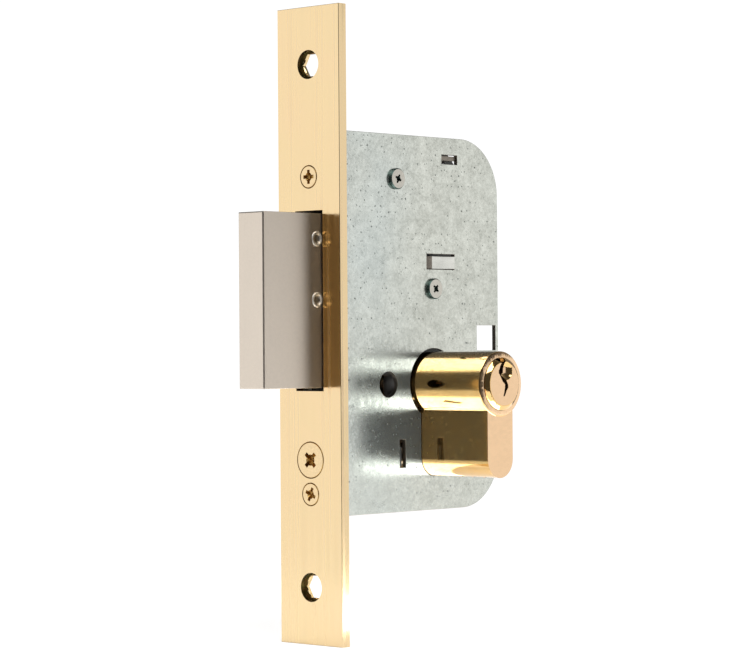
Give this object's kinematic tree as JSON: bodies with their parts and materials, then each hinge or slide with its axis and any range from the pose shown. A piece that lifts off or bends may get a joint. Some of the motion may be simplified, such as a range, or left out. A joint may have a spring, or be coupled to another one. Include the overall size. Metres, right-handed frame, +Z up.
{
  "type": "mortise deadbolt lock",
  "caption": "Mortise deadlock: flat brass faceplate, thrown rectangular bolt, sheet-steel case and a double profile cylinder through it.",
  "frame": {"origin": "on the cylinder's axis, in the middle of the case's thickness", "axes": "+X into the door, away from the faceplate's front; +Z up, along the faceplate; -Y is the near side of the door"},
  "size_m": [0.0874, 0.0632, 0.164],
  "materials": {
    "faceplate_brass": "satin, lacquered",
    "brass_screws": "satin",
    "cylinder_brass": "polished",
    "pin_brass": "turned",
    "galvanised_sheet": "galvanised, mottled",
    "plated_steel": "zinc plated",
    "plated_screws": "zinc plated",
    "bolt_steel": "satin nickel plated",
    "tail_steel": "plain, oiled",
    "tumbler_steel": "plain, oiled",
    "turned_steel": "turned",
    "cam_steel": "sintered, oiled",
    "spring_wire": "drawn wire"
  },
  "bodies": {
    "case": {"faceplate": "faceplate_brass", "forend_bar": "plated_steel", "case_plate": "galvanised_sheet", "case_cover": "galvanised_sheet", "upper_post": "turned_steel", "lower_post": "turned_steel", "cover_screws": "plated_screws", "faceplate_screws": "brass_screws", "cylinder_screw": "brass_screws", "cylinder_housing": "cylinder_brass", "near_driver_pins": "turned_steel", "far_driver_pins": "turned_steel", "near_pin_springs": "spring_wire", "far_pin_springs": "spring_wire", "chamber_caps": "pin_brass", "tumbler_spring": "spring_wire"},
    "bolt": {"bolt_head": "bolt_steel", "bolt_tail": "tail_steel", "bolt_rivets": "bolt_steel", "bolt_stump": "turned_steel"},
    "cam": {"cylinder_cam": "cam_steel", "clutch": "cam_steel"},
    "near_plug": {"near_plug": "cylinder_brass", "near_key_pins": "pin_brass", "near_circlip": "spring_wire"},
    "far_plug": {"far_plug": "cylinder_brass", "far_key_pins": "pin_brass", "far_circlip": "spring_wire"},
    "tumbler": {"tumbler": "tumbler_steel"}
  },
  "joints": [
    {"name": "bolt_slide", "type": "slide", "parent": "case", "child": "bolt", "axis": [1, 0, 0], "range_m": [0, 0.021]},
    {"name": "cam_turn", "type": "hinge", "parent": "case", "child": "cam", "pos_m": [0, 0, 0], "axis": [0, 1, 0], "range_deg": [0, 88.1]},
    {"name": "near_plug_turn", "type": "hinge", "parent": "case", "child": "near_plug", "pos_m": [0, -0.018, 0], "axis": [0, 1, 0], "range_deg": [0, 88.1]},
    {"name": "far_plug_turn", "type": "hinge", "parent": "case", "child": "far_plug", "pos_m": [0, 0.018, 0], "axis": [0, 1, 0], "range_deg": [0, 360]},
    {"name": "tumbler_lift", "type": "slide", "parent": "case", "child": "tumbler", "axis": [0, 0, 1], "range_m": [0, 0.0015], "stiffness_N_per_m": 300, "springref_m": -0.002, "deforming": ["tumbler_spring"]}
  ],
  "couplings": [
    {"joint": "cam_turn", "follows": "bolt_slide", "rad_per_m": 73.22},
    {"joint": "near_plug_turn", "follows": "bolt_slide", "rad_per_m": 73.22}
  ]
}
